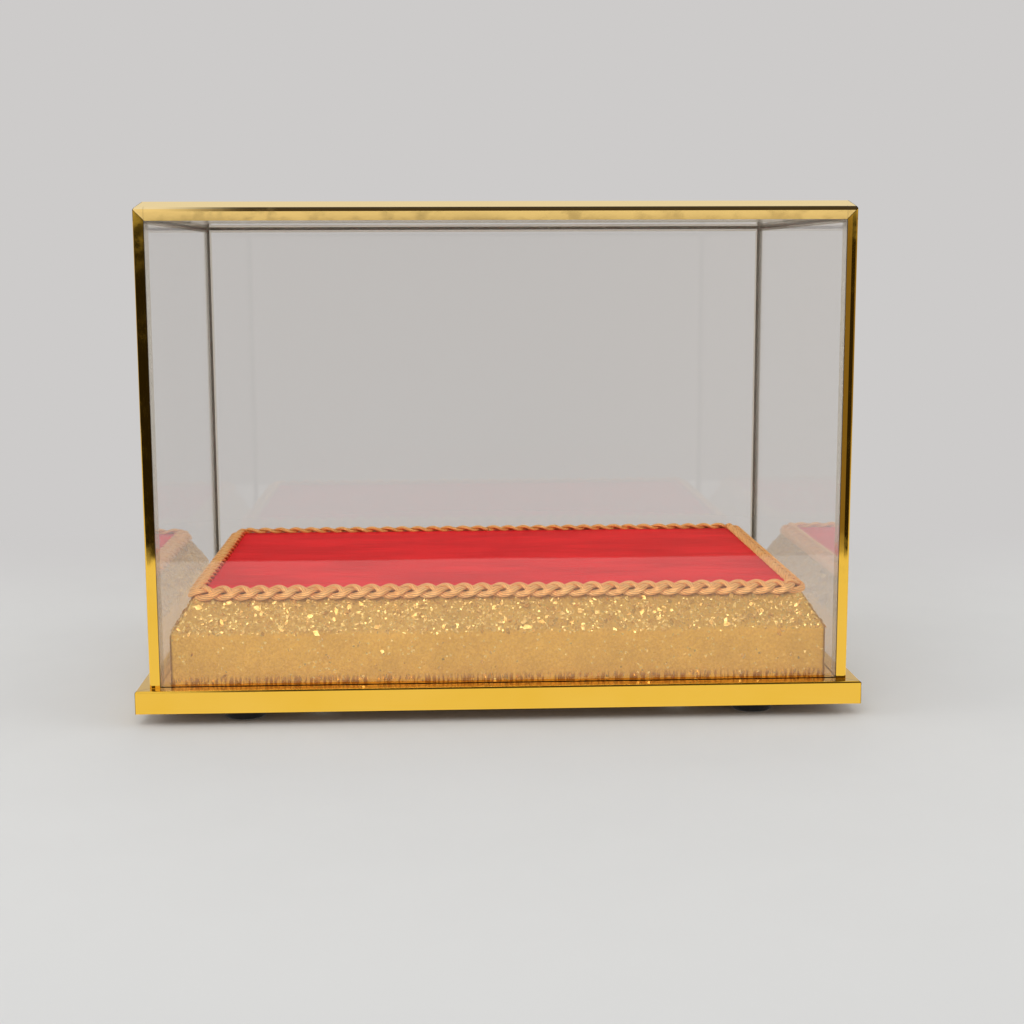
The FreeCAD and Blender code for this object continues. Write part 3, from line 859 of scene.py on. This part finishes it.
def make_flecks(side, seed):
    half_long, half_side, turn = PANELS[side]
    spin = Matrix.Rotation(math.radians(turn), 3, "Z")
    chance = random.Random(f"flecks {side}")
    points, faces = [], []

    def add_chip(corners):
        faces.append(tuple(range(len(points), len(points) + len(corners))))
        points.extend(spin @ corner for corner in corners)

    last = len(profile) - round(LAP_IN / PROFILE_STEP)
    for row in range(HEM_ROW, last):
        density = FLECKS_PER_MM2["bevel" if row >= KNEE_ROW else "wall"]
        length = 2 * (half_long - profile[row][0])
        for _ in range(round(density * length * PROFILE_STEP + chance.uniform(-0.5, 0.5))):
            share = chance.uniform(-FLECK_REACH, FLECK_REACH)
            centre, outward = cloth_place(half_long, half_side, share, row, seed)
            add_chip(one_fleck(chance, centre, outward, Vector((1, 0, 0))))
    for _ in range(round(2 * half_long / THREAD_PITCH)):
        share = chance.uniform(-THREAD_REACH, THREAD_REACH)
        centre, outward = cloth_place(half_long, half_side, share, HEM_ROW, seed)
        add_chip(one_thread(chance, centre, outward))
    flecks = make_piece("flecks_" + side, points, faces, finishes["foil_fleck"], smooth=False)
    thicken(flecks, FOIL_THICK)
    return flecks


flecks = {side: make_flecks(side, CLOTH_SEED[side]) for side in PANELS}
print("flecks:", {side: len(piece.data.polygons) for side, piece in flecks.items()})

# %% [markdown]
# ### The cut of the cloth
# Cloth has a size of its own, the one it was cut to before it was glued on. It could be guessed from the
# finished shape, but here it follows from the plinth: the wall, the bevel and the lap one after the other,
# narrower above the knee. It is worked out here for each panel, and printed.

bevel_long = math.hypot(BEVEL_IN, BEVEL_UP)
for side, panel in panels.items():
    half_long = PANELS[side][0]
    widest = 2 * half_long * MM
    narrowest = 2 * (half_long - BEVEL_IN - LAP_IN) * MM
    area = widest * WALL_UP * MM + (widest + narrowest) / 2 * (bevel_long + LAP_IN) * MM
    print("fabric", side, "cut", round(widest / MM, 1), "x", round(WALL_UP + bevel_long + LAP_IN, 1), "mm")

# %% [markdown]
# ## Velvet top
# A rectangle of velvet is glued on the deck, inside the braid. A flat plate would look like card. It is
# laid, not stretched, so it lies in very slow waves, and its edge climbs onto the turned-over gold fabric
# under the braid.

# %% Velvet sheet
_, velvet_corner = (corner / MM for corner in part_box("velvet_top"))
VELVET_OVER = 2.2
VELVET_X, VELVET_Y = velvet_corner.x + VELVET_OVER, velvet_corner.y + VELVET_OVER
VELVET_STEP, VELVET_THICK = 1.8, 0.5
EDGE_RISE, EDGE_RISE_WIDE = 0.35, 4
SLOW_WAVE, QUICK_WAVE = 0.10, 0.04


def velvet_height(x, y):
    """The pile's top: slow waves, higher where the edge lies on the fabric's lap."""
    to_edge = min(VELVET_X - abs(x), VELVET_Y - abs(y))
    waves = SLOW_WAVE * noise.noise(Vector((x / 30, y / 22, 5)))
    waves += QUICK_WAVE * noise.noise(Vector((x / 8, y / 8, 9)))
    return velvet_corner.z + waves + EDGE_RISE * max(0, 1 - to_edge / EDGE_RISE_WIDE) ** 2


def make_velvet():
    columns, rows = round(2 * VELVET_X / VELVET_STEP) + 1, round(2 * VELVET_Y / VELVET_STEP) + 1
    points = []
    for row in range(rows):
        y = VELVET_Y * (2 * row / (rows - 1) - 1)
        for column in range(columns):
            x = VELVET_X * (2 * column / (columns - 1) - 1)
            points.append((x, y, velvet_height(x, y)))
    velvet = make_piece("velvet_sheet", points, grid_faces(rows, columns), finishes["red_velvet"])
    thicken(velvet, VELVET_THICK)
    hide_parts("velvet_top")
    return velvet


velvet = make_velvet()
print("velvet:", len(velvet.data.polygons), "faces, cut to",
      round(2 * VELVET_X, 1), "x", round(2 * VELVET_Y, 1), "mm")

# %% [markdown]
# ## The plaited braid
# A flat plait of three soft strands is glued over the edge of the deck, half on the top and half on the
# bevel. A rope texture on a bar would show no scalloped edge, so each strand is a real bundle of yarns. In a
# plait a strand swings from side to side once in a period, and dips under and over twice: two sine waves.
# The plait is then bent over the edge by mapping its width onto a saddle, and its length onto the path round
# the deck.

# %% Path round the deck and saddle over its edge
EDGE_X, EDGE_Y = PLINTH_X - BEVEL_IN, PLINTH_Y - BEVEL_IN
CORNER_R = 5.5
SADDLE_HALF, SADDLE_STEP = 1.2, 0.15
SADDLE_OUT, SADDLE_DROP = -0.16, 0.29
TOP_NORMAL, BEVEL_NORMAL = math.pi / 2, math.atan2(BEVEL_IN, BEVEL_UP)
RUN_X, RUN_Y, ARC = 2 * (EDGE_X - CORNER_R), 2 * (EDGE_Y - CORNER_R), math.pi * CORNER_R / 2
ROUND_THE_DECK = 2 * RUN_X + 2 * RUN_Y + 4 * ARC


def on_path(distance):
    """Point and outward direction at a distance along the deck's edge, from the middle of the back."""
    legs = [RUN_X / 2, RUN_Y, RUN_X, RUN_Y, RUN_X / 2]
    centre = [(EDGE_X - CORNER_R, EDGE_Y - CORNER_R), (EDGE_X - CORNER_R, CORNER_R - EDGE_Y),
              (CORNER_R - EDGE_X, CORNER_R - EDGE_Y), (CORNER_R - EDGE_X, EDGE_Y - CORNER_R)]
    place, heading = Vector((0, EDGE_Y)), 0.0
    for number, run in enumerate(legs):
        forward_dir = Vector((math.cos(heading), math.sin(heading)))
        outward = Vector((-forward_dir.y, forward_dir.x))
        if distance <= run or number == len(legs) - 1:
            return place + forward_dir * distance, outward
        distance -= run
        place += forward_dir * run
        if distance <= ARC:
            turn = heading - distance / CORNER_R
            outward = Vector((-math.sin(turn), math.cos(turn)))
            return Vector(centre[number]) + outward * CORNER_R, outward
        distance -= ARC
        heading -= math.pi / 2
        outward = Vector((-math.sin(heading), math.cos(heading)))
        place = Vector(centre[number]) + outward * CORNER_R


def on_saddle(across):
    """(out, height, normal angle) of the edge's surface, across it: positive is inwards on the top."""
    def angle_at(q):
        share = min(1, max(0, (q + SADDLE_HALF) / (2 * SADDLE_HALF)))
        return BEVEL_NORMAL + (TOP_NORMAL - BEVEL_NORMAL) * share
    steps = max(1, math.ceil(abs(across) / SADDLE_STEP))
    out, height = SADDLE_OUT, CLOTH_TOP - SADDLE_DROP
    for i in range(steps):
        angle = angle_at(across * (i + 0.5) / steps)
        out -= math.sin(angle) * across / steps
        height += math.cos(angle) * across / steps
    return out, height, angle_at(across)


print("braid length:", round(ROUND_THE_DECK, 1), "mm")

# %% One strand of the plait
STRANDS, LOBE_PITCH = 3, 8.3
PERIODS = round(ROUND_THE_DECK / (STRANDS * LOBE_PITCH))
SWING, DIP = 2.45, 0.95
STRAND_WIDE, STRAND_THICK = 3.1, 1.7
PLAIT_MIDDLE, PLAIT_REST = 0.3, 1.55
PLAIT_WANDER, WANDER_LONG = 0.18, 9
YARNS, YARN_POINTS, YARN_DEEP, YARN_TURN_MM = 7, 5, 0.24, 22.0
RING_POINTS, RING_STEP = YARNS * YARN_POINTS, 0.95
YARN_ROUND = [math.sqrt(1 - (2 * i / YARN_POINTS - 1) ** 2) for i in range(YARN_POINTS)]
BUTT_GAP, LOOK_AHEAD = 0.25, 0.2


def strand_centre(distance, number):
    """Middle of a strand in millimetres, and the outward direction of the surface under it."""
    phase = 2 * math.pi * (PERIODS * distance / ROUND_THE_DECK + number / STRANDS)
    wander = PLAIT_WANDER * noise.noise(Vector((distance / WANDER_LONG, number * 5, 2)))
    out, height, angle = on_saddle(PLAIT_MIDDLE + SWING * math.sin(phase) + wander)
    (x, y), (nx, ny) = on_path(distance)
    normal = Vector((nx * math.cos(angle), ny * math.cos(angle), math.sin(angle)))
    lift = PLAIT_REST + DIP * math.sin(2 * phase)
    return Vector((x + nx * out, y + ny * out, height)) + normal * lift, normal


def strand_points(number):
    """Rings of points along a strand. The points follow its yarns, which wind slowly round it."""
    count = round(ROUND_THE_DECK / RING_STEP)
    start, end = BUTT_GAP, ROUND_THE_DECK - BUTT_GAP
    points = []
    for ring in range(count + 1):
        distance = start + (end - start) * ring / count
        centre, normal = strand_centre(distance, number)
        ahead = strand_centre(min(distance + LOOK_AHEAD, ROUND_THE_DECK), number)[0]
        behind = strand_centre(max(distance - LOOK_AHEAD, 0), number)[0]
        tangent = (ahead - behind).normalized()
        wide = tangent.cross(normal).normalized()
        thick = wide.cross(tangent)
        for i in range(RING_POINTS):
            angle = 2 * math.pi * (i / RING_POINTS - distance / YARN_TURN_MM)
            ridge = 1 - YARN_DEEP * (1 - YARN_ROUND[i % YARN_POINTS])
            points.append(centre + wide * (STRAND_WIDE / 2 * ridge * math.cos(angle))
                          + thick * (STRAND_THICK / 2 * ridge * math.sin(angle)))
    return points, count + 1


def make_braid():
    points, faces = [], []
    for number in range(STRANDS):
        ring_points, rings = strand_points(number)
        first = len(points)
        points += ring_points
        for ring in range(rings - 1):
            ring_start = first + ring * RING_POINTS
            for i in range(RING_POINTS):
                a, b = ring_start + i, ring_start + (i + 1) % RING_POINTS
                faces.append((a, b, b + RING_POINTS, a + RING_POINTS))
        faces.append(tuple(first + i for i in reversed(range(RING_POINTS))))
        faces.append(tuple(first + (rings - 1) * RING_POINTS + i for i in range(RING_POINTS)))
    braid = make_piece("braid_plait", points, faces, finishes["gold_braid"])
    # The crown attribute is 1 on the top of a yarn and 0 in the hollow; the finish paints shade into the
    # hollows by it.
    crown = braid.data.attributes.new("crown", "FLOAT", "POINT")
    crown.data.foreach_set("value", YARN_ROUND * (len(points) // YARN_POINTS))
    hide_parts("braid_edging")
    return braid


braid = make_braid()
print("braid:", PERIODS, "periods,", len(braid.data.polygons), "faces")

# %% [markdown]
# ## The end
# The view layer is brought up to date. Cloth may stand a little proud of the imported box, but nothing else
# may.

# %% Finish
bpy.context.view_layer.update()
